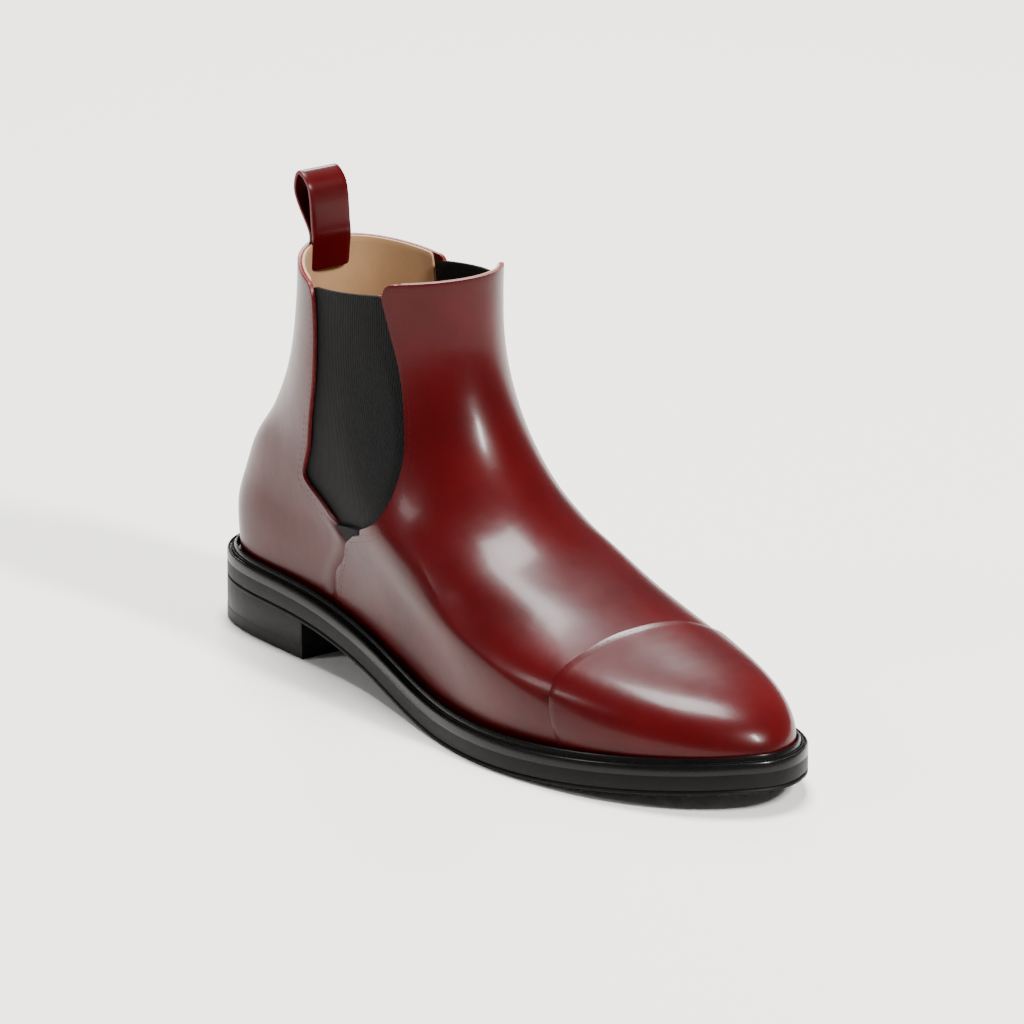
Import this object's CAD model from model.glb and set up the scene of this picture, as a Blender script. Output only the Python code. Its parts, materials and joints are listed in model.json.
import json
import math

import bmesh
import bpy
from mathutils import Matrix, Vector
from mathutils.bvhtree import BVHTree


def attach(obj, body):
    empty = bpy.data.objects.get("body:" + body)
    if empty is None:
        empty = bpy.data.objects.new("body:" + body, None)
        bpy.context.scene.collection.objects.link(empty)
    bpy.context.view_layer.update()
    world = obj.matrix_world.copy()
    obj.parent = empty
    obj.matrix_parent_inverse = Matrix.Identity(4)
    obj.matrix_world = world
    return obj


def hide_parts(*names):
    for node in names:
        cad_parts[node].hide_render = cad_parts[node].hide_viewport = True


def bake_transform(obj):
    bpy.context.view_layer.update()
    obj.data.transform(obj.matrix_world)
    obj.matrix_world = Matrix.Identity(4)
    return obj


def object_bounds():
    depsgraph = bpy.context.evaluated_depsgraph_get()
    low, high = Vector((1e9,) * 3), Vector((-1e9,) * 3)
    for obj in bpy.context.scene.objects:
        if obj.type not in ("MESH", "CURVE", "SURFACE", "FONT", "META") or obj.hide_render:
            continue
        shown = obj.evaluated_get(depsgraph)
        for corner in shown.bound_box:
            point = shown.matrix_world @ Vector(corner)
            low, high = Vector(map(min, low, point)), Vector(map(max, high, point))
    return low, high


bl_info = {
    "name": "Chelsea Boot",
    "version": (1, 0, 0),
    "blender": (4, 5, 0),
    "location": "3D View > Sidebar > Boot",
    "description": "Dresses the packed frame of a burgundy chelsea boot",
    "category": "Add Mesh",
}

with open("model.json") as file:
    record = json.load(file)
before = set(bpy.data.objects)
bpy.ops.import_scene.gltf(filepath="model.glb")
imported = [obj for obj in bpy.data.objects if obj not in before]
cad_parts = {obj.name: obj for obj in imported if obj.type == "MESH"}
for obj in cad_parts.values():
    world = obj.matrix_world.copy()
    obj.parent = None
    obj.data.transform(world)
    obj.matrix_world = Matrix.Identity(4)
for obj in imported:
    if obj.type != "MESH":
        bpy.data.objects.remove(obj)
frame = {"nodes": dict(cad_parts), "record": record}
CAD_LOW, CAD_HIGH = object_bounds()

MM = 0.001
HEEL_BACK = CAD_LOW.x
FAR = 0.4                      # metres, beyond any wall of the boot
UP, FORWARD = Vector((0, 0, 1)), Vector((1, 0, 0))
CURVE_STEPS = 24               # points on each span of a smooth curve
CAGE_ROUNDS = 4                # corrections that bring a cage's surface onto its points


# ------------------------------------------------------------------ places
def spot(distance, height, side=0.0):
    """Point in mm: in front of the heel's back, above the ground, towards the inner side."""
    return Vector((HEEL_BACK + distance * MM, side * MM, height * MM))


def smooth_line(points, count):
    """Evenly run curve through a few points, as a list of count points."""
    ends = [points[0] * 2 - points[1]] + list(points) + [points[-1] * 2 - points[-2]]
    fine = []
    for index in range(len(points) - 1):
        a, b, c, d = ends[index:index + 4]
        for step in range(CURVE_STEPS):
            t = step / CURVE_STEPS
            fine.append(0.5 * ((2 * b) + (c - a) * t + (2 * a - 5 * b + 4 * c - d) * t ** 2
                               + (3 * b - a - 3 * c + d) * t ** 3))
    fine.append(points[-1].copy())
    return even(fine, count)


def even(points, count):
    """The same open line, with count points at even distances."""
    marks = [0.0]
    for before, after in zip(points, points[1:]):
        marks.append(marks[-1] + (after - before).length)
    result = []
    index = 0
    for step in range(count):
        goal = marks[-1] * step / (count - 1)
        while index < len(points) - 2 and marks[index + 1] < goal:
            index += 1
        span = max(marks[index + 1] - marks[index], 1e-12)
        result.append(points[index].lerp(points[index + 1], min((goal - marks[index]) / span, 1)))
    return result


# ------------------------------------------------------------------ surfaces of the frame
def skin(*nodes):
    """Search tree over merged copies of these CAD nodes."""
    shape = bmesh.new()
    for node in nodes:
        shape.from_mesh(frame["nodes"][node].data)
    bmesh.ops.remove_doubles(shape, verts=shape.verts, dist=1e-6)
    tree = BVHTree.FromBMesh(shape)
    shape.free()
    return tree


def outermost(tree, centre, direction):
    """Where a line from the centre leaves the skin, or None."""
    return tree.ray_cast(centre + direction * FAR, -direction, FAR)[0]


def fit_cage(rows):
    """Moves a grid's points so that its subdivided surface passes through where they were."""
    goal = [[point.copy() for point in row] for row in rows]
    cage = [[point.copy() for point in row] for row in rows]
    last_row, last = len(rows) - 1, len(rows[0]) - 1
    for _ in range(CAGE_ROUNDS):
        limit = [[point.copy() for point in row] for row in cage]
        for i in range(last_row + 1):
            for j in range(last + 1):
                edge_row, edge_column = i in (0, last_row), j in (0, last)
                if edge_row and edge_column:
                    continue
                if edge_row:
                    limit[i][j] = (cage[i][j] * 4 + cage[i][j - 1] + cage[i][j + 1]) / 6
                elif edge_column:
                    limit[i][j] = (cage[i][j] * 4 + cage[i - 1][j] + cage[i + 1][j]) / 6
                else:
                    near = cage[i - 1][j] + cage[i + 1][j] + cage[i][j - 1] + cage[i][j + 1]
                    corners = (cage[i - 1][j - 1] + cage[i - 1][j + 1]
                               + cage[i + 1][j - 1] + cage[i + 1][j + 1])
                    limit[i][j] = (cage[i][j] * 16 + near * 4 + corners) / 36
        for i in range(last_row + 1):
            for j in range(last + 1):
                cage[i][j] += goal[i][j] - limit[i][j]
    return cage


# ------------------------------------------------------------------ making meshes
def patch(rows):
    """Grid mesh whose points are these rows."""
    shape = bmesh.new()
    columns = len(rows[0])
    bmesh.ops.create_grid(shape, x_segments=columns - 1, y_segments=len(rows) - 1, size=1)
    for vertex in shape.verts:
        column = round((vertex.co.x + 1) / 2 * (columns - 1))
        row = round((vertex.co.y + 1) / 2 * (len(rows) - 1))
        vertex.co = rows[row][column]
    return shape


def face_outwards(shape, middle):
    """Turns an open sheet's faces away from the boot's middle."""
    bmesh.ops.recalc_face_normals(shape, faces=shape.faces)
    votes = sum((face.calc_center_median() - middle).dot(face.normal) * face.calc_area()
                for face in shape.faces)
    if votes < 0:
        bmesh.ops.reverse_faces(shape, faces=shape.faces)


def make_object(name, shape, sharp=None):
    """Object of a finished bmesh, smooth shaded up to a sharp angle in degrees."""
    mesh = bpy.data.meshes.new(name)
    shape.to_mesh(mesh)
    shape.free()
    mesh.shade_smooth()
    if sharp:
        mesh.set_sharp_from_angle(angle=math.radians(sharp))
    piece = bpy.data.objects.new(name, mesh)
    bpy.context.collection.objects.link(piece)
    return piece


def subdivided(piece, levels):
    """Subdivides a piece and applies it, so that its mesh is final."""
    subdivide = piece.modifiers.new("Subdivision", "SUBSURF")
    subdivide.levels = subdivide.render_levels = levels
    graph = bpy.context.evaluated_depsgraph_get()
    mesh = bpy.data.meshes.new_from_object(piece.evaluated_get(graph))
    old = piece.data
    piece.modifiers.clear()
    piece.data = mesh
    mesh.name = piece.name
    bpy.data.meshes.remove(old)
    return piece


def slice_shape(shape, place, direction, drop_outer=False):
    """Cuts a shape along a plane, and drops what lies beyond it if asked."""
    bmesh.ops.bisect_plane(shape, geom=shape.verts[:] + shape.edges[:] + shape.faces[:],
                           plane_co=place, plane_no=direction, clear_outer=drop_outer)


def raise_face(shape, face, rise, keep=False):
    """Extrudes a face upwards by this many mm, and gives the new face on top."""
    made = bmesh.ops.extrude_face_region(shape, geom=[face], use_keep_orig=keep)["geom"]
    bmesh.ops.translate(shape, vec=Vector((0, 0, rise * MM)),
                        verts=[item for item in made if isinstance(item, bmesh.types.BMVert)])
    return next(item for item in made if isinstance(item, bmesh.types.BMFace))


# ------------------------------------------------------------------ lines of the upper, side view
FEATHER_HEIGHT = 9.0           # mm, sole's underside to the lowest visible leather
SOLE_STEP = 3                  # mm between the places where the sole's underside is measured
SOLE_STATIONS = [2.5 + SOLE_STEP * step for step in range(100)]
INNER_START = 3                # mm off the middle plane, clear of any seam between solids
SOLE_SKIN = skin("outsole", "outsole_forepart")
SOLE_HEIGHTS = [SOLE_SKIN.ray_cast(spot(station, -50, INNER_START), UP, FAR)[0].z / MM
                for station in SOLE_STATIONS]


def underside(distance):
    """Height in mm of the sole's underside at a distance from the heel's back."""
    place = min(max((distance - SOLE_STATIONS[0]) / SOLE_STEP, 0), len(SOLE_STATIONS) - 1.001)
    index = int(place)
    low, high = SOLE_HEIGHTS[index:index + 2]
    return low + (high - low) * (place - index)


# Rows of the leather over the last. Each starts at the edge of the gore or the side seam, runs
# forward or back, and goes round the ridge: (edge, edge of the lining, middle, turn, ridge),
# as (mm in front of the heel's back, mm above the ground). None is the line along the welt.
FRONT_ROWS = [
    ((83, None), (83, None), (165, None), (256, None), (292, None)),
    ((84.5, 26), (84.5, 26), (160, 20.5), (252, 19), (296, 23)),
    ((88, 38), (88, 37), (150, 32), (243, 24), (280, 34)),
    ((95.5, 55.2), (97, 44.5), (145, 44), (218, 33), (244, 43.5)),
    ((111, 60), (114, 55.5), (140, 55), (185, 42), (208, 54.3)),
    ((123, 66.7), (129.6, 66.5), (145, 64), (162, 52), (181, 64.3)),
    ((126, 77), (132.2, 77), (138, 75), (147, 70), (163, 76.5)),
    ((125.2, 89), (131.4, 89), (132.5, 88.7), (133.5, 88.5), (150, 88)),
    ((121.5, 102), (127.7, 102), (127.9, 102), (128.2, 102), (141, 102)),
    ((117.2, 118), (123.4, 118), (123.5, 118), (123.7, 118), (134.8, 116)),
    ((113.4, 131), (119.6, 131), (119.8, 131), (120, 131), (131.8, 130)),
    ((110.6, 142.5), (116.8, 142.5), (117, 142.5), (117.2, 142.6), (131.2, 143)),
    ((109.6, 149.6), (115.6, 149.9), (115.8, 150), (116, 150.1), (131, 152.4)),
]
BACK_ROWS = [
    ((86.5, None), (83, None), (60, None), (36, None), (5, None)),
    ((88, 27), (84.2, 27), (60, 29), (36, 30), (4.4, 31)),
    ((92, 38), (88, 37), (62, 40), (36, 41), (3.6, 42)),
    ((101.5, 50.6), (97, 44.5), (66, 50.5), (38, 51), (4.4, 51.5)),
    ((83, 60.4), (80, 56.2), (60, 59.5), (38, 59.5), (8, 59.5)),
    ((68.5, 68), (62.2, 67.8), (52, 68), (39, 68), (12.5, 67.5)),
    ((71.6, 80), (65.4, 80), (60, 80), (45, 80), (20, 79.5)),
    ((73.2, 92), (67, 92), (65, 92), (53, 92), (26.8, 91.5)),
    ((75.4, 106), (69.2, 106), (70, 106), (60, 106), (33, 105.5)),
    ((75.5, 121), (69.3, 121), (72, 121), (66, 121), (36.6, 121)),
    ((74.5, 133), (68.3, 133), (71, 133.5), (67, 134), (38.8, 136)),
    ((73.4, 140.6), (67.4, 141.6), (71, 141), (68, 141.5), (40, 146.4)),
]
ROW_NUDGE = 0.4                # mm that a row stays inside the leather's edge
ROW_SPACING = 8                # mm between rows of a sheet
ROW_CURVE = 0.7                # share of curve, against straight, between two given rows
PATH_POINTS = 40               # places along a row where the skin is felt
FAN_REACH = 60                 # mm from the middle of the foot to where the fan's rays start
FAN_STEPS = 12
CALM_SHARE, CALM_PASSES = 0.35, 2


def row_places(row, lining):
    """Edge, middle, turn and ridge of a row as points, with the welt line filled in."""
    chosen = (row[1] if lining else row[0],) + row[2:]
    return [spot(distance, underside(distance) + FEATHER_HEIGHT if height is None else height)
            for distance, height in chosen]


def blended_rows(rows, lining=False):
    """The given rows with others between them."""
    keys = [row_places(row, lining) for row in rows]
    result = []
    for index, key in enumerate(keys[:-1]):
        following = keys[index + 1]
        width = max((following[0] - key[0]).length, (following[-1] - key[-1]).length * 0.7)
        steps = max(1, round(width / (ROW_SPACING * MM)))
        for step in range(steps):
            share = step / steps
            row = []
            for place, other, before, after in zip(key, following, keys[max(index - 1, 0)],
                                                   keys[min(index + 2, len(keys) - 1)]):
                straight = place.lerp(other, share)
                curved = ((place * 2) + (other - before) * share
                          + (before * 2 - place * 5 + other * 4 - after) * share ** 2
                          + (place * 3 - before - other * 3 + after) * share ** 3) * 0.5
                row.append(straight.lerp(curved, ROW_CURVE))
            result.append(row)
    result.append(keys[-1])
    return result


def wrap_row(tree, places, columns):
    """Points on the skin along a row: up one side, round the ridge and back on the other."""
    edge, middle, turn, ridge = places
    forward = (ridge - turn).normalized()
    path = smooth_line([edge, middle, turn], PATH_POINTS)
    path[0] = path[0] + (path[1] - path[0]).normalized() * ROW_NUDGE * MM
    sides = []
    for side in (-1, 1):
        points = []
        for centre in path:
            hit = outermost(tree, centre, Vector((0, side, 0)))
            if hit:
                points.append(hit)
        for step in range(1, FAN_STEPS + 1):
            angle = math.pi / 2 * step / FAN_STEPS
            direction = Vector((0, side, 0)) * math.cos(angle) + forward * math.sin(angle)
            outside = turn + direction * FAN_REACH * MM
            hit = tree.ray_cast(outside, -direction, FAN_REACH * MM)[0]
            if hit:
                points.append(hit)
        sides.append(points)
    line = sides[0] + sides[1][::-1][1:]
    return even(line, columns)


def calm(rows):
    """Evens out the small unevenness of sampled points, and leaves the sheet's edges alone."""
    for _ in range(CALM_PASSES):
        old = [[point.copy() for point in row] for row in rows]
        for i in range(1, len(rows) - 1):
            for j in range(1, len(rows[0]) - 1):
                near = (old[i - 1][j] + old[i + 1][j] + old[i][j - 1] + old[i][j + 1]) / 4
                rows[i][j] = old[i][j].lerp(near, CALM_SHARE)
    return rows


# The cap's rows run from the welt to the ridge: (edge, ridge).
CAP_LINES = [
    ((236.8, None), (228.6, 47.4)),
    ((246, None), (243, 45)),
    ((256, None), (258, 42)),
    ((265, None), (273, 38.5)),
    ((273, None), (285, 33.5)),
    ((280, None), (293, 28)),
    ((285, None), (297, 22)),
    ((288, None), (299, None)),
]
CAP_ROWS = [(edge, edge, edge, edge, ridge) for edge, ridge in CAP_LINES]


# ------------------------------------------------------------------ leather pieces
UNDERLAP = 1.75                # mm that a lapped edge lies below its neighbour's face
LAP_RUN = 3.0                  # mm of height over which the edge goes down to there
LAP_TOP = 57                   # mm above the ground, where the quarter starts to go under
SHEET_COLUMNS, CAP_COLUMNS, QUARTER_LINING_COLUMNS = 41, 37, 33
CAP_SKIVE = (1.0, 0.45, 0.15)  # mm that the cap's first rows are pared down
CAP_OVERLAP = 5.5              # mm that the front runs on under the cap
LINING_END = -0.5              # mm past the seam where the front's lining ends
FRONT_CORNER, QUARTER_CORNER = spot(95.5, 55.2), spot(101.5, 50.6)
FRONT_COLLAR, QUARTER_COLLAR = 6, 4      # mm radius of the collar's corners


def round_collar(grid, radius):
    """Rounds the two corners of a sheet's last row, down towards the row before it."""
    last, before = grid[-1], grid[-2]
    for order in (range(len(last)), range(len(last) - 1, -1, -1)):
        order = list(order)
        run = 0.0
        for index, column in enumerate(order):
            if index:
                run += (last[column] - previous).length
            previous = last[column].copy()
            if run >= radius:
                break
            drop = radius - math.sqrt(radius ** 2 - (radius - run) ** 2)
            down = before[column] - last[column]
            last[column] = last[column] + down * min(drop / down.length, 0.85)


def wrapped_sheet(name, rows, columns, nodes, thickness, lining=False, corner=None, cut=None,
                  skive=(), lap=0, collar_radius=0):
    """One cut of leather, lasted over the frame, with real thickness and soft cut edges.

    A skived piece's first rows are sunk by these mm, where its edge is pared thin. Below the
    height of a lap, a piece's ends run in under its neighbour."""
    tree = skin(*nodes)
    places = blended_rows(rows, lining)
    grid = calm([wrap_row(tree, row, columns) for row in places])
    for index, sink in enumerate(skive):
        inner = places[index][0].lerp(places[index][-1], 0.3)
        inner.y = 0
        grid[index] = [point + (inner - point).normalized() * sink * MM for point in grid[index]]
    if lap:
        for row, centre in zip(grid, places):
            share = min(max((lap * MM - centre[0].z) / (LAP_RUN * MM), 0), 1)
            row[0].y += UNDERLAP * share * MM
            row[-1].y -= UNDERLAP * share * MM
    if collar_radius:
        round_collar(grid, collar_radius * MM)
    shape = patch(fit_cage(grid))
    shape.verts.ensure_lookup_table()
    face_outwards(shape, spot(110, 60))
    if corner:
        crease = shape.verts.layers.float.new("crease_vert")
        for side in (0, -1):
            sharp = min(range(len(places)), key=lambda row: (places[row][0] - corner).length)
            target = grid[sharp][side]
            nearest = min(shape.verts, key=lambda vertex: (vertex.co - target).length)
            nearest.co = target
            nearest[crease] = 1.0
    piece = subdivided(make_object(name, shape), 2)
    if cut:
        shape = bmesh.new()
        shape.from_mesh(piece.data)
        slice_shape(shape, *cut, drop_outer=True)
        shape.to_mesh(piece.data)
        shape.free()
    return thicken(piece, thickness)


def thicken(piece, thickness, edge=0.3, offset=-1):
    """Gives an open sheet its thickness and rounds its cut edges."""
    solid = piece.modifiers.new("Thickness", "SOLIDIFY")
    solid.thickness = thickness * MM
    solid.offset = offset
    solid.material_offset_rim = 1
    bevel = piece.modifiers.new("Cut edge", "BEVEL")
    bevel.width = edge * MM
    bevel.segments = 2
    bevel.limit_method = "ANGLE"
    bevel.angle_limit = math.radians(50)
    return piece


def cap_plane(distance):
    """Plane along the cap's seam, moved towards the toe by a distance in mm."""
    return spot(227 + distance, 52), Vector((57, 0, 13)).normalized()


def gore_edge(keys, height):
    """Distance from the heel's back of a gore's hidden edge at a height."""
    for (low, start), (high, end) in zip(keys, keys[1:]):
        if height <= high:
            return start + (end - start) * max(height - low, 0) / (high - low)
    return keys[-1][1]


GORE_BACK_EDGE = [(47, 94), (60, 74), (68, 64.5), (90, 68.5), (121, 71), (146, 69.5)]
GORE_FRONT_EDGE = [(47, 103), (60, 119), (67, 128), (77, 130.5), (102, 126), (131, 117.5),
                   (150, 112)]
GORE_ROWS, GORE_COLUMNS = 15, 11
GORE_FOOT, GORE_BACK_TOP, GORE_FRONT_TOP = 48, 138.6, 145.2


def gore_sheet(name, node, side, thickness):
    """Elastic panel that closes the gap between the front and the back quarter."""
    tree = skin(node)
    rows = []
    for step in range(GORE_ROWS):
        share = step / (GORE_ROWS - 1)
        back = gore_edge(GORE_BACK_EDGE, GORE_FOOT + share * (GORE_BACK_TOP - GORE_FOOT))
        front = gore_edge(GORE_FRONT_EDGE, GORE_FOOT + share * (GORE_FRONT_TOP - GORE_FOOT))
        row = []
        for column in range(GORE_COLUMNS):
            distance = back + (front - back) * column / (GORE_COLUMNS - 1)
            top = 138.8 + (distance - 66) * 7 / 54        # the collar's slope
            height = GORE_FOOT + share * (top - GORE_FOOT)
            row.append(outermost(tree, spot(distance, height), Vector((0, side, 0))))
        known = [point for point in row if point]
        rows.append([point or known[0] for point in row])
    shape = patch(fit_cage(calm(rows)))
    face_outwards(shape, spot(100, 100))
    return thicken(subdivided(make_object(name, shape), 2), thickness, edge=0.25)


# ------------------------------------------------------------------ sole pieces
OUTLINE_POINTS = 220
OUTLINE_LEVEL = 3.5            # mm above the sole's underside, where its outline is taken
CROSS_CUT = 6                  # mm between cuts that let a plate follow the sole
SCORE_LEVEL, SCORE_WIDTH, SCORE_DEPTH, SOLE_ABOVE_SCORE = 1.5, 0.3, 0.25, 5.2
WELT_BASE, WELT_TOP = 7, 10.3
HEEL_FOOT, HEEL_BREAST = 5, 72           # mm, on the top lift and behind the straight breast


def sole_outline():
    """Plan of the sole as even points at ground level, from the frame's own outline."""
    lateral, medial = [], []
    for station in range(33, 264, 4):
        height = underside(station) + OUTLINE_LEVEL
        for side, points in ((-1, lateral), (1, medial)):
            hit = outermost(SOLE_SKIN, spot(station, height, INNER_START), Vector((0, side, 0)))
            points.append(Vector((hit.x, hit.y, 0)))
    ends = []
    for centre, turn in ((264, 0.0), (32, math.pi)):
        points = []
        for step in range(25):
            angle = turn + math.pi * (step / 24 - 0.5)
            reach = 35.0
            for _ in range(4):
                distance = centre + reach * math.cos(angle)
                start = spot(centre, underside(distance) + OUTLINE_LEVEL, INNER_START)
                hit = outermost(SOLE_SKIN, start, Vector((math.cos(angle), math.sin(angle), 0)))
                reach = (hit - start).length / MM
            points.append(Vector((hit.x, hit.y, 0)))
        ends.append(points)
    ring = lateral + ends[0][1:-1] + medial[::-1] + ends[1][1:-1]
    return even(ring + [ring[0]], OUTLINE_POINTS + 1)[:-1]


def plate(outline, low, high):
    """Closed flat plate of this outline, between two levels in mm, and its top and bottom face."""
    shape = bmesh.new()
    corners = [shape.verts.new((point.x, point.y, low * MM)) for point in outline]
    bottom = shape.faces.new(corners)
    top = raise_face(shape, bottom, high - low, keep=True)
    bmesh.ops.recalc_face_normals(shape, faces=shape.faces)
    return shape, top, bottom


def inset_steps(shape, face, steps):
    """Insets a face again and again: each step goes inwards and up or down, in mm."""
    for inwards, upwards in steps:
        bmesh.ops.inset_region(shape, faces=[face], thickness=inwards * MM, depth=upwards * MM,
                               use_even_offset=True, use_boundary=True)


def cut_across(shape, first=0, last=310):
    """Cuts a plate across its length, so that it can follow the sole's curve."""
    distance = first
    while distance < last:
        slice_shape(shape, spot(distance, 0), FORWARD)
        distance += CROSS_CUT


def follow_sole(shape):
    """Lifts a flat plate onto the curve of the sole's underside."""
    for vertex in shape.verts:
        vertex.co.z += underside((vertex.co.x - HEEL_BACK) / MM) * MM


def rounded(piece, width):
    """Rounds a hard piece's edges."""
    bevel = piece.modifiers.new("Rounded edge", "BEVEL")
    bevel.width = width * MM
    bevel.segments = 2
    bevel.limit_method = "ANGLE"
    bevel.angle_limit = math.radians(40)
    return piece


def make_outsole(outline):
    """Sole with a thin scored line round its edge."""
    shape, top, _ = plate(outline, 0, SCORE_LEVEL)
    for rise in (SCORE_WIDTH, SOLE_ABOVE_SCORE):
        top = raise_face(shape, top, rise)
    middle = SCORE_LEVEL + SCORE_WIDTH / 2
    score = [face for face in shape.faces
             if abs(face.calc_center_median().z / MM - middle) < SCORE_WIDTH / 3]
    bmesh.ops.inset_region(shape, faces=score, thickness=0.04 * MM, depth=-SCORE_DEPTH * MM,
                           use_even_offset=True, use_boundary=True)
    cut_across(shape)
    follow_sole(shape)
    bmesh.ops.recalc_face_normals(shape, faces=shape.faces)
    return rounded(make_object("sole", shape), 0.45)


# Section of the welt from its outer edge inwards: (mm inwards, mm up), rib, groove and rib.
WELT_STEPS = [(0.35, 0.5), (0.5, 0.1), (0.2, -0.65), (0.25, 0), (0.25, 0.8), (0.45, 0.1),
              (0.2, -0.75), (0.15, 0.1), (0.25, 1.6), (0.35, 0.6), (0.5, 0.0), (0.35, -0.5),
              (0.2, -1.6), (0.25, -0.5), (4.0, 0)]


def make_welt(outline):
    """Storm welt: a ring with two low ribs and the high rib against the upper."""
    shape, top, bottom = plate(outline, WELT_BASE, WELT_TOP)
    inset_steps(shape, top, WELT_STEPS)
    inset_steps(shape, bottom, [(sum(step[0] for step in WELT_STEPS), 0)])
    inner = [edge for face in (top, bottom) for edge in face.edges]
    bmesh.ops.delete(shape, geom=[top, bottom], context="FACES_ONLY")
    bmesh.ops.bridge_loops(shape, edges=inner)
    bmesh.ops.recalc_face_normals(shape, faces=shape.faces)
    follow_sole(shape)
    return make_object("storm_welt", shape, sharp=38)


def make_heel(outline):
    """Stacked heel behind its straight breast, from the top lift up to the sole."""
    shape, _, _ = plate(outline, HEEL_FOOT, HEEL_FOOT + 1)
    cut_across(shape, 2, HEEL_BREAST)
    for vertex in shape.verts:
        if vertex.co.z > (HEEL_FOOT + 0.5) * MM:
            vertex.co.z = underside((vertex.co.x - HEEL_BACK) / MM) * MM
    slice_shape(shape, spot(HEEL_BREAST, 0), FORWARD, drop_outer=True)
    open_edges = [edge for edge in shape.edges if edge.is_boundary]
    bmesh.ops.contextual_create(shape, geom=open_edges)
    bmesh.ops.recalc_face_normals(shape, faces=shape.faces)
    return rounded(make_object("heel_stack", shape), 0.4)


# ------------------------------------------------------------------ strap and stitches
TAB_PLACE = spot(44.7, 149.3)
TAB_LEAN = math.radians(22)
BASE_LEAN = math.radians(7)
# Section of the strap from its inner sewn end to its outer one: (mm across, mm along).
TAB_LINE = [(0.9, -14), (0.9, -6), (0.9, -1), (1.2, 2.5), (4.0, 12), (4.4, 18), (0.3, 23.2),
            (-4.2, 18), (-3.9, 12), (-1.2, 2.5), (-0.7, -1), (-0.7, -6), (-0.7, -14)]


def make_tab(thickness, width):
    """Leather strap, sewn in behind the collar and folded into a loop that leans back."""
    places = []
    for across, up in TAB_LINE:
        lean = TAB_LEAN if up > 0 else 0.0
        back = BASE_LEAN if up < 0 else 0.0
        along = across * math.cos(lean) - up * math.sin(lean) + up * math.sin(back)
        height = across * math.sin(lean) + up * math.cos(lean + back)
        places.append(TAB_PLACE + Vector((along, 0, height)) * MM)
    path = smooth_line(places, 41)
    rows = [[point + Vector((0, side * width / 2 * MM, 0)) for side in (-1, -0.5, 0, 0.5, 1)]
            for point in path]
    shape = patch(rows)
    bmesh.ops.recalc_face_normals(shape, faces=shape.faces)
    return thicken(subdivided(make_object("pull_strap", shape), 1), thickness, offset=0)


STITCH_LENGTH, STITCH_GAP, THREAD_WIDTH = 1.9, 0.7, 0.4
STITCH_SINK = 0.12             # mm that the thread is pulled into the leather


def piece_skin(name):
    """Search tree over a finished piece."""
    graph = bpy.context.evaluated_depsgraph_get()
    return BVHTree.FromObject(bpy.data.objects[name], graph)


def side_line(tree, places, side):
    """Points and outward directions of the skin along a side-view line."""
    result = []
    for place in smooth_line([spot(*pair) for pair in places], 120):
        outside = place + Vector((0, side * FAR, 0))
        hit, normal, _, _ = tree.ray_cast(outside, Vector((0, -side, 0)), FAR)
        if hit:
            result.append((hit, normal if normal.y * side > 0 else -normal))
    return result


def row_line(tree, places):
    """Points and outward directions of the skin along a row that goes round the ridge."""
    points = wrap_row(tree, [spot(*pair) for pair in places], 160)
    result = []
    for point in points:
        _, normal, _, _ = tree.find_nearest(point)
        outwards = point - spot(100, 60)
        result.append((point, normal if normal.dot(outwards) > 0 else -normal))
    return result


def sew(shape, line):
    """Adds a row of stitches along a line of points with their outward directions."""
    points = [point for point, _ in line]
    length = sum((b - a).length for a, b in zip(points, points[1:]))
    count = max(2, round(length / ((STITCH_LENGTH + STITCH_GAP) * MM)))
    marks = even(points, count * 2 + 1)
    for index in range(count):
        centre = marks[index * 2 + 1]
        along = (marks[index * 2 + 2] - marks[index * 2]).normalized()
        _, outwards = min(line, key=lambda pair: (pair[0] - centre).length)
        across = outwards.cross(along).normalized()
        up = along.cross(across).normalized()
        turn = Matrix((along, across, up)).transposed().to_4x4()
        size = Matrix.Diagonal((STITCH_LENGTH / 2, THREAD_WIDTH / 2, THREAD_WIDTH / 2, 1))
        place = Matrix.Translation(centre - up * STITCH_SINK * MM) @ turn @ size
        bmesh.ops.create_uvsphere(shape, u_segments=6, v_segments=4, radius=MM,
                                  matrix=place @ Matrix.Rotation(math.pi / 2, 4, "Y"))


# ------------------------------------------------------------------ finishes
NOISE, CELLS, BANDS = "ShaderNodeTexNoise", "ShaderNodeTexVoronoi", "ShaderNodeTexWave"
# Texture scale whose features are 1 mm apart, and the output that gives their height.
MM_SCALE = {NOISE: 1000, CELLS: 1000, BANDS: 314}
HEIGHT = {NOISE: "Fac", CELLS: "Distance", BANDS: "Fac"}
MOTTLED, WHOLE = 0.25, 0.5     # how far the outer colours lie from a pattern's middle value
FINISH = {}


def hex_colour(code):
    """Linear colour of an sRGB hex value."""
    values = [int(code[start:start + 2], 16) / 255 for start in (1, 3, 5)]
    return tuple(value / 12.92 if value <= 0.04045 else ((value + 0.055) / 1.055) ** 2.4
                 for value in values)


def add_node(tree, kind, values=None, links=None, **settings):
    """Adds a node with its settings, values and links."""
    made = tree.nodes.new(kind)
    for key, value in settings.items():
        setattr(made, key, value)
    for socket, value in (values or {}).items():
        made.inputs[socket].default_value = value
    for socket, source in (links or {}).items():
        tree.links.new(source, made.inputs[socket])
    return made


def feel(tree, place, kind, size, detail=None, **settings):
    """Value of a texture whose features are this many mm apart."""
    values = {"Scale": MM_SCALE[kind] / size}
    if detail:
        values["Detail"] = detail
    return add_node(tree, kind, values, {"Vector": place}, **settings).outputs[HEIGHT[kind]]


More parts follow.
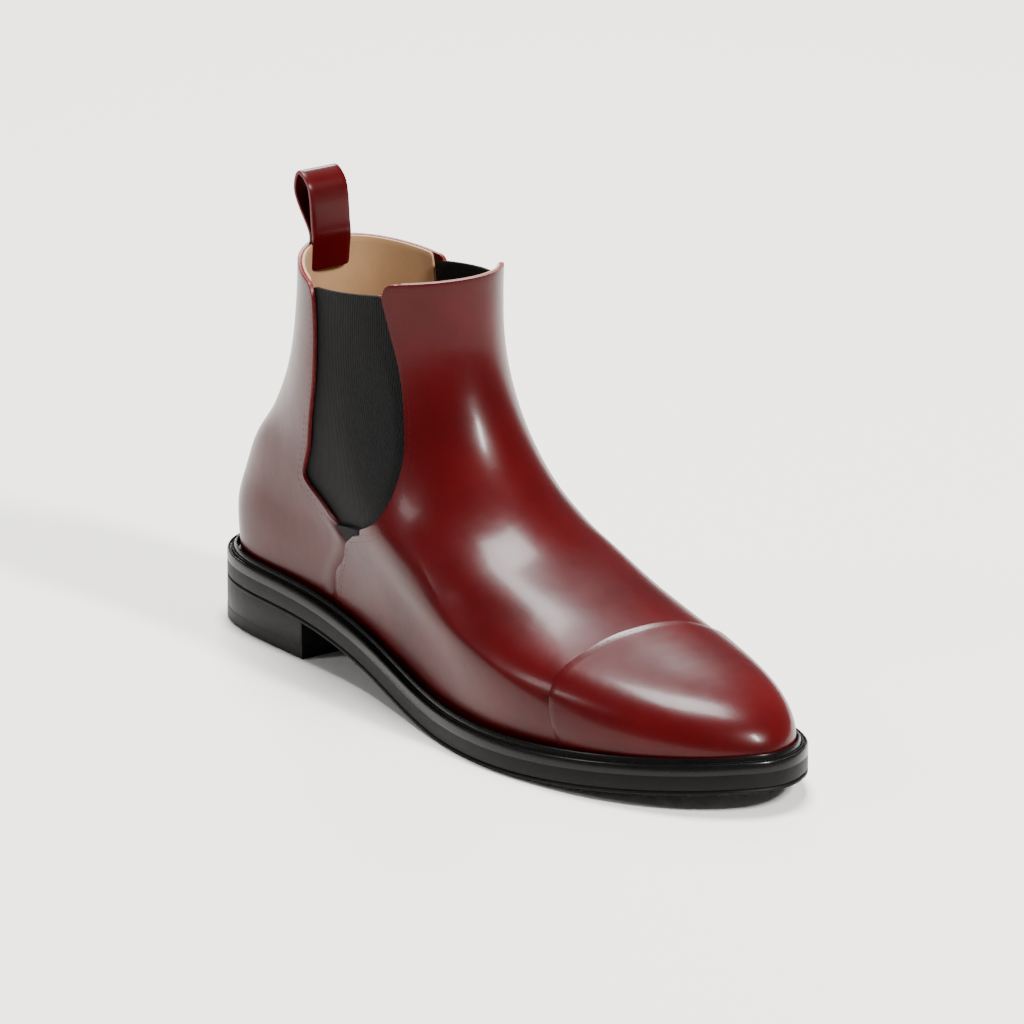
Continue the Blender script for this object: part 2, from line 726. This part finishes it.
def make_finish(name, values, dye=None, gloss=None, reliefs=()):
    """Material from its shader's values and its patterns: a dye of two or more colours, a gloss
    between two roughnesses, and reliefs of some mm depth, the finest first. A pattern is a
    texture's kind, the mm between its features and its settings."""
    material = bpy.data.materials.new(name)
    material.use_nodes = True
    tree = material.node_tree
    tree.nodes.clear()
    place = add_node(tree, "ShaderNodeTexCoord").outputs["Object"]
    links = {}
    if dye:
        pattern, spread, colours = dye
        ramp = add_node(tree, "ShaderNodeValToRGB", links={"Fac": feel(tree, place, **pattern)})
        stops = ramp.color_ramp.elements
        for index, colour in enumerate(colours):
            where = 0.5 + spread * (2 * index / (len(colours) - 1) - 1)
            stop = stops[index] if index < 2 else stops.new(where)
            stop.position = where
            stop.color = (*colour, 1)
        links["Base Color"] = ramp.outputs["Color"]
    if gloss:
        pattern, low, high = gloss
        varied = add_node(tree, "ShaderNodeMapRange", {"To Min": low, "To Max": high},
                          {"Value": feel(tree, place, **pattern)})
        links["Roughness"] = varied.outputs[0]
    for pattern, depth, strength in reliefs:
        below = {"Normal": links["Normal"]} if "Normal" in links else {}
        bump = add_node(tree, "ShaderNodeBump", {"Distance": depth * MM, "Strength": strength},
                        {"Height": feel(tree, place, **pattern), **below})
        links["Normal"] = bump.outputs[0]
    shader = add_node(tree, "ShaderNodeBsdfPrincipled", values, links)
    add_node(tree, "ShaderNodeOutputMaterial", links={"Surface": shader.outputs[0]})
    return material


def shades(colour, *shares):
    """Darker and lighter shades of a colour."""
    return [tuple(value * share for value in colour) for share in shares]


def burnished_edge(name, colours, gloss, coat, speck, depth):
    """Edge that is inked and hot-waxed with an iron: near black with a soft waxy shine and faint
    marks along its fibres."""
    marks = dict(kind=NOISE, size=speck, detail=4)
    return make_finish(
        name, {"IOR": 1.5, "Coat Weight": coat, "Coat Roughness": 0.16,
               "Specular IOR Level": 0.12},
        dye=(dict(kind=NOISE, size=11, detail=5), MOTTLED, [hex_colour(c) for c in colours]),
        gloss=(marks, *gloss), reliefs=[(marks, depth, 0.5)])


def board(name, colours, roughness, size, depth):
    """Fibre board, cork or foam: a matt body with grains of this many mm."""
    grains = dict(kind=CELLS, size=size)
    return make_finish(name, {"IOR": 1.45, "Roughness": roughness},
                       dye=(grains, WHOLE, [hex_colour(c) for c in colours]),
                       reliefs=[(grains, depth, 0.6)])


def drawn_metal(name, colour, roughness):
    """Rolled or drawn metal, with fine lines from the rollers."""
    lines = dict(kind=NOISE, size=0.7, detail=3)
    return make_finish(name, {"Metallic": 1.0, "Base Color": (*hex_colour(colour), 1)},
                       gloss=(lines, roughness - 0.06, roughness + 0.08),
                       reliefs=[(lines, 0.01, 0.4)])


def prepare_finishes(colours):
    """Makes every material of the boot."""
    # Box calf, aniline dyed and wax polished: deep even colour under a wet gloss, which a very
    # fine grain and the soft unevenness of lasted leather break up.
    FINISH["burgundy_calf"] = make_finish(
        "polished_box_calf", {"IOR": 1.45, "Coat Weight": 0.1, "Coat Roughness": 0.14,
                              "Coat IOR": 1.45, "Specular IOR Level": 0.14},
        dye=(dict(kind=NOISE, size=38, detail=4), MOTTLED, shades(colours.calf, 0.72, 1.0, 1.35)),
        gloss=(dict(kind=NOISE, size=9, detail=5), 0.26, 0.36),
        reliefs=[(dict(kind=CELLS, size=0.9, feature="SMOOTH_F1"), 0.03, 0.35),
                 (dict(kind=NOISE, size=14, detail=2), 0.5, 0.3)])
    # Skived edge of the calf, dyed and burnished: paler and duller than the grain side.
    fibres = dict(kind=NOISE, size=1.2, detail=4)
    FINISH["cut_edge"] = make_finish(
        "burnished_calf_edge", {"IOR": 1.5, "Roughness": 0.38, "Specular IOR Level": 0.2},
        dye=(fibres, MOTTLED, [tuple(colours.cut_edge), hex_colour("#6b2426")]),
        reliefs=[(fibres, 0.05, 0.5)])
    # Undyed calf lining, drummed soft: matt, pale, with fine pores.
    FINISH["lining_leather"] = make_finish(
        "calf_lining", {"IOR": 1.45, "Roughness": 0.62, "Sheen Weight": 0.15,
                        "Sheen Roughness": 0.5},
        dye=(dict(kind=NOISE, size=22, detail=5), MOTTLED,
             [hex_colour("#9a7450"), hex_colour("#b08a62")]),
        reliefs=[(dict(kind=CELLS, size=0.8), 0.05, 0.5)])
    # Rubber-cored webbing: matt black with close upright ribs, drawn 0.9 mm apart so that they
    # show, and a fine weft across them.
    ribs = dict(kind=BANDS, size=0.9, bands_direction="X")
    FINISH["black_elastic"] = make_finish(
        "ribbed_elastic", {"IOR": 1.46, "Roughness": 0.78, "Specular IOR Level": 0.2},
        dye=(ribs, WHOLE, shades(colours.elastic, 0.5, 1.6)),
        reliefs=[(dict(kind=BANDS, size=0.6, bands_direction="Z"), 0.12, 0.5),
                 (ribs, 0.3, 0.9)])
    # Twisted, waxed polyester sewing thread in the leather's own colour, a little duller than it.
    plies = dict(kind=BANDS, size=0.35, bands_direction="DIAGONAL")
    FINISH["thread"] = make_finish(
        "waxed_thread", {"IOR": 1.5, "Roughness": 0.6, "Specular IOR Level": 0.2},
        dye=(plies, WHOLE, shades(colours.thread, 1.0, 0.5)), reliefs=[(plies, 0.05, 0.6)])
    # Seamless paper: pale, matt and plain.
    FINISH["paper"] = make_finish(
        "seamless_paper", {"Roughness": 0.85},
        dye=(dict(kind=NOISE, size=600, detail=2), MOTTLED, shades(colours.floor, 0.98, 1.0)))
    FINISH.update({
        "stiffener_board": board("celastic_board", ["#8c8478", "#a39b8d"], 0.8, 0.8, 0.04),
        "insole_leather": board("veg_tanned_shoulder", ["#8f6840", "#a67c50"], 0.7, 1.1, 0.06),
        "foam": board("latex_foam", ["#d9cfb4", "#c7bb9c"], 0.9, 0.7, 0.1),
        "cork": board("granulated_cork", ["#7a5231", "#a87a4c"], 0.85, 1.8, 0.2),
        "spring_steel": drawn_metal("tempered_spring_steel", "#9fa3a8", 0.35),
        "brass": drawn_metal("drawn_brass", "#c9a35a", 0.3),
        "black_welt_leather": burnished_edge("waxed_welt_leather", ["#050505", "#0c0b0b"],
                                             (0.24, 0.32), 0.12, speck=5, depth=0.01),
        "black_sole_rubber": burnished_edge("inked_rubber_sole", ["#060606", "#0c0b0b"],
                                            (0.42, 0.55), 0.0, speck=1.6, depth=0.02),
        "black_heel_stack": burnished_edge("inked_stacked_leather", ["#060606", "#0d0c0b"],
                                           (0.4, 0.52), 0.0, speck=1.6, depth=0.02),
    })


def dress(piece, slot, rim=None):
    """Gives a piece its finish and names the record's slot that it stands for."""
    piece.data.materials.append(FINISH[slot])
    piece.data.materials.append(FINISH[rim or slot])
    return piece


def area_light(name, place, size, power, colour):
    """Soft box that faces the boot."""
    light = bpy.data.lights.new(name, "AREA")
    light.shape = "RECTANGLE"
    light.size, light.size_y = size
    light.energy = power
    light.color = colour
    lamp = bpy.data.objects.new(name, light)
    lamp.location = place
    facing = Vector(LIGHT_TARGET) - Vector(place)
    lamp.rotation_euler = facing.to_track_quat("-Z", "Y").to_euler()
    bpy.context.collection.objects.link(lamp)


# ------------------------------------------------------------------ settings
class BootSizes(bpy.types.PropertyGroup):
    """Sizes that a maker may change."""
    leather: bpy.props.FloatProperty(name="Upper leather", description="Thickness of the calf",
                                     default=1.6, min=0.8, max=3)
    cap: bpy.props.FloatProperty(name="Toe cap leather", description="Thickness of the toe cap",
                                 default=1.4, min=0.8, max=3)
    lining: bpy.props.FloatProperty(name="Lining", description="Thickness of the lining",
                                    default=1.0, min=0.5, max=2)
    elastic: bpy.props.FloatProperty(name="Elastic", description="Thickness of the gores",
                                     default=1.3, min=0.8, max=2)
    strap: bpy.props.FloatProperty(name="Pull strap", description="Thickness of the pull strap",
                                   default=1.4, min=0.8, max=2)
    strap_width: bpy.props.FloatProperty(name="Strap width", description="Width of the pull strap",
                                         default=16.6, min=10, max=22)


class BootColours(bpy.types.PropertyGroup):
    """Colours that a maker may change."""
    calf: bpy.props.FloatVectorProperty(name="Calf", description="Dye of the upper leather",
                                        subtype="COLOR", default=hex_colour("#3a0305"))
    cut_edge: bpy.props.FloatVectorProperty(name="Cut edge", description="Edges of the calf",
                                            subtype="COLOR", default=hex_colour("#4d1013"))
    elastic: bpy.props.FloatVectorProperty(name="Elastic", description="Webbing of the gores",
                                           subtype="COLOR", default=hex_colour("#0b0b0c"))
    thread: bpy.props.FloatVectorProperty(name="Thread", description="Sewing thread",
                                          subtype="COLOR", default=hex_colour("#2c0709"))
    floor: bpy.props.FloatVectorProperty(name="Floor", description="Studio floor",
                                         subtype="COLOR", default=hex_colour("#f2efea"))


def bend_at_ball(piece):
    """Lets a piece bend where the foot bends."""
    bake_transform(piece)


def bend_at_shaft(piece):
    """Lets a piece follow the back of the shaft as it tilts open."""
    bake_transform(piece)


# ------------------------------------------------------------------ operators
class MakeFinishes(bpy.types.Operator):
    """Prepares the leathers, elastic, rubber and metals"""
    bl_idname = "boot.make_finishes"
    bl_label = "Finishes"

    def execute(self, context):
        prepare_finishes(context.scene.boot_colours)
        for name, node in frame["nodes"].items():
            slot = NODE_FINISH[name]
            for place in node.material_slots:
                place.material = FINISH[slot]
        return {"FINISHED"}


class MakeToeCap(bpy.types.Operator):
    """Makes the toe cap that laps over the front"""
    bl_idname = "boot.make_toe_cap"
    bl_label = "Toe cap"

    def execute(self, context):
        sizes = context.scene.boot_sizes
        cap = wrapped_sheet("toe_cap_leather", CAP_ROWS, CAP_COLUMNS, ["toe_cap"], sizes.cap,
                            skive=CAP_SKIVE)
        dress(cap, "burgundy_calf", "cut_edge")
        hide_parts("toe_cap")
        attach(cap, "forepart")
        return {"FINISHED"}


class MakeFront(bpy.types.Operator):
    """Makes the one-piece front and its lining"""
    bl_idname = "boot.make_front"
    bl_label = "Front"

    def execute(self, context):
        sizes = context.scene.boot_sizes
        front = wrapped_sheet("front_leather", FRONT_ROWS, SHEET_COLUMNS, ["vamp", "toe_puff"],
                              sizes.leather, corner=FRONT_CORNER, cut=cap_plane(CAP_OVERLAP),
                              collar_radius=FRONT_COLLAR)
        dress(front, "burgundy_calf", "cut_edge")
        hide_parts("vamp")
        bend_at_ball(front)
        lining = wrapped_sheet("front_lining", FRONT_ROWS, SHEET_COLUMNS,
                               ["vamp_lining", "toe_lining"], sizes.lining, lining=True,
                               cut=cap_plane(LINING_END))
        dress(lining, "lining_leather")
        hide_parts("vamp_lining")
        bend_at_ball(lining)
        return {"FINISHED"}


class MakeQuarter(bpy.types.Operator):
    """Makes the wrapped back quarter and its lining"""
    bl_idname = "boot.make_quarter"
    bl_label = "Back quarter"

    def execute(self, context):
        sizes = context.scene.boot_sizes
        quarter = wrapped_sheet("quarter_leather", BACK_ROWS, SHEET_COLUMNS,
                                ["rear_quarter", "shaft_back", "vamp"], sizes.leather,
                                corner=QUARTER_CORNER, lap=LAP_TOP,
                                collar_radius=QUARTER_COLLAR)
        dress(quarter, "burgundy_calf", "cut_edge")
        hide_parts("rear_quarter", "shaft_back")
        bend_at_shaft(quarter)
        lining = wrapped_sheet("quarter_lining", BACK_ROWS, QUARTER_LINING_COLUMNS,
                               ["heel_lining", "shaft_lining"], sizes.lining, lining=True)
        dress(lining, "lining_leather")
        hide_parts("heel_lining", "shaft_lining")
        bend_at_shaft(lining)
        return {"FINISHED"}


class MakeGores(bpy.types.Operator):
    """Makes the two elastic gores"""
    bl_idname = "boot.make_gores"
    bl_label = "Elastic gores"

    def execute(self, context):
        for node, side in (("gore_lateral", -1), ("gore_medial", 1)):
            gore = gore_sheet(node + "_elastic", node, side, context.scene.boot_sizes.elastic)
            dress(gore, "black_elastic")
            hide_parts(node)
            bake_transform(gore)
        return {"FINISHED"}


class MakeSole(bpy.types.Operator):
    """Makes the storm welt, the sole and the heel"""
    bl_idname = "boot.make_sole"
    bl_label = "Welt, sole and heel"

    def execute(self, context):
        outline = sole_outline()
        welt = dress(make_welt(outline), "black_welt_leather")
        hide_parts("welt", "welt_forepart")
        bend_at_ball(welt)
        sole = dress(make_outsole(outline), "black_sole_rubber")
        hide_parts("outsole", "outsole_forepart")
        bend_at_ball(sole)
        heel = dress(make_heel(outline), "black_heel_stack")
        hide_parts("heel_block")
        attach(heel, "root")
        return {"FINISHED"}


class MakeStrap(bpy.types.Operator):
    """Makes the pull strap at the back of the collar"""
    bl_idname = "boot.make_strap"
    bl_label = "Pull strap"

    def execute(self, context):
        sizes = context.scene.boot_sizes
        strap = dress(make_tab(sizes.strap, sizes.strap_width), "burgundy_calf", "cut_edge")
        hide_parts("pull_tab", "pull_tab_base")
        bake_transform(strap)
        return {"FINISHED"}


class SewSeams(bpy.types.Operator):
    """Sews the rows of stitches"""
    bl_idname = "boot.sew_seams"
    bl_label = "Stitches"

    def execute(self, context):
        front, quarter, cap = bmesh.new(), bmesh.new(), bmesh.new()
        front_skin, quarter_skin = piece_skin("front_leather"), piece_skin("quarter_leather")
        cap_skin = piece_skin("toe_cap_leather")
        for side in (-1, 1):
            for step in (2.2, 4.2):
                edge = [(96.5 + step * 0.4, 55.4 - step), (111 + step * 0.5, 60.3 - step),
                        (124 + step * 0.8, 65.5 - step * 0.6), (126.4 + step, 77),
                        (125.4 + step, 89)]
                sew(front, side_line(front_skin, edge, side))
            sew(front, side_line(front_skin, [(127.6, 89), (123.7, 102), (119.4, 118),
                                              (115.6, 131), (112.4, 143.6)], side))
            for step in (1.8, 3.6):
                sew(front, side_line(front_skin, [(94.4 + step, 52.6 - step), (89.3 + step, 38),
                                                  (85.6 + step, 26)], side))
                sew(quarter, side_line(quarter_skin, [(83 - step * 0.5, 60.4 - step * 1.1),
                                                      (68.2 - step, 66.6 - step * 0.3),
                                                      (71 - step, 80), (72.6 - step, 92)], side)
                    if step > 3 else side_line(quarter_skin, [
                        (95.5, 51.5), (83 - step * 0.4, 58.4), (68.2 - step, 66.9),
                        (71.2 - step, 80), (72.8 - step, 92), (75 - step, 106),
                        (75.1 - step, 121), (74 - step, 133), (73 - step, 138.4)], side))
        sew(front, row_line(front_skin,
                            [(112.3, 147.3), (114, 147.5), (116, 147.7), (131, 149.9)]))
        sew(quarter, row_line(quarter_skin,
                              [(70.6, 139.2), (69, 139.4), (66, 139.9), (39.5, 144)]))
        for step in (1.5, 3.0):
            sew(cap, row_line(cap_skin, [(236.4 + step, 14), (236, 15), (235.8, 16),
                                         (228.5 + step, 47)]))
        for shape, name, place in ((front, "front_stitches", bend_at_ball),
                                   (quarter, "quarter_stitches", bend_at_shaft),
                                   (cap, "cap_stitches", None)):
            piece = make_object(name, shape)
            piece.data.materials.append(FINISH["thread"])
            if place:
                place(piece)
            else:
                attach(piece, "forepart")
        return {"FINISHED"}


# Soft boxes: name, place in metres, size in metres, watts and colour.
LIGHTS = (
    ("key_box", (1.7, 0.35, 1.5), (0.2, 0.55), 100, (1, 0.98, 0.95)),
    ("fill_box", (-0.9, -2.1, 1.5), (0.4, 0.6), 16, (1, 1, 1)),
    ("top_box", (-0.4, 0.3, 2.3), (0.8, 0.8), 135, (1, 1, 1)),
    ("back_box", (-1.9, 1.3, 1.6), (0.7, 0.7), 50, (1, 1, 1)),
)
LIGHT_TARGET = (0.0, 0.0, 0.06)
CAMERA_TURN, CAMERA_LIFT, CAMERA_REACH = math.radians(54), math.radians(18), 4.0
CAMERA_TARGET = Vector((0.004, 0, 0.072))
LENS, SENSOR = 396, 36         # mm


class MakeStage(bpy.types.Operator):
    """Sets up the floor, the lights and the camera"""
    bl_idname = "boot.make_stage"
    bl_label = "Stage"

    def execute(self, context):
        shape = bmesh.new()
        bmesh.ops.create_grid(shape, x_segments=1, y_segments=1, size=6)
        floor = make_object("studio_floor", shape)
        floor.data.materials.append(FINISH["paper"])
        world = bpy.data.worlds.new("studio")
        world.use_nodes = True
        background = world.node_tree.nodes["Background"]
        background.inputs["Color"].default_value = (0.85, 0.87, 0.9, 1)
        background.inputs["Strength"].default_value = 0.22
        context.scene.world = world
        for light in LIGHTS:
            area_light(*light)
        lens = bpy.data.cameras.new("camera")
        lens.lens, lens.sensor_width = LENS, SENSOR
        camera = bpy.data.objects.new("camera", lens)
        away = Vector((math.sin(CAMERA_TURN) * math.cos(CAMERA_LIFT),
                       -math.cos(CAMERA_TURN) * math.cos(CAMERA_LIFT), math.sin(CAMERA_LIFT)))
        camera.location = CAMERA_TARGET + away * CAMERA_REACH
        camera.rotation_euler = (-away).to_track_quat("-Z", "Y").to_euler()
        context.collection.objects.link(camera)
        context.scene.camera = camera
        return {"FINISHED"}


class BootPanel(bpy.types.Panel):
    """Lists the boot's settings and pieces"""
    bl_idname = "VIEW3D_PT_boot"
    bl_label = "Chelsea boot"
    bl_space_type = "VIEW_3D"
    bl_region_type = "UI"
    bl_category = "Boot"

    def draw(self, context):
        column = self.layout.column()
        for settings in (context.scene.boot_sizes, context.scene.boot_colours):
            for name in settings.__annotations__:
                column.prop(settings, name)
        for operator in OPERATORS:
            column.operator(operator.bl_idname)


NODE_FINISH = {entry["node"]: entry["material_slot"] for entry in frame["record"]["subparts"]}
OPERATORS = (MakeFinishes, MakeToeCap, MakeFront, MakeQuarter, MakeGores, MakeSole, MakeStrap,
             SewSeams, MakeStage)
CLASSES = (BootSizes, BootColours) + OPERATORS + (BootPanel,)


def register():
    for entry in CLASSES:
        bpy.utils.register_class(entry)
    bpy.types.Scene.boot_sizes = bpy.props.PointerProperty(type=BootSizes)
    bpy.types.Scene.boot_colours = bpy.props.PointerProperty(type=BootColours)


def unregister():
    del bpy.types.Scene.boot_sizes
    del bpy.types.Scene.boot_colours
    for entry in reversed(CLASSES):
        bpy.utils.unregister_class(entry)


def main():
    register()
    for operator in OPERATORS:
        group, name = operator.bl_idname.split(".")
        getattr(getattr(bpy.ops, group), name)()


if __name__ == "__main__":
    main()
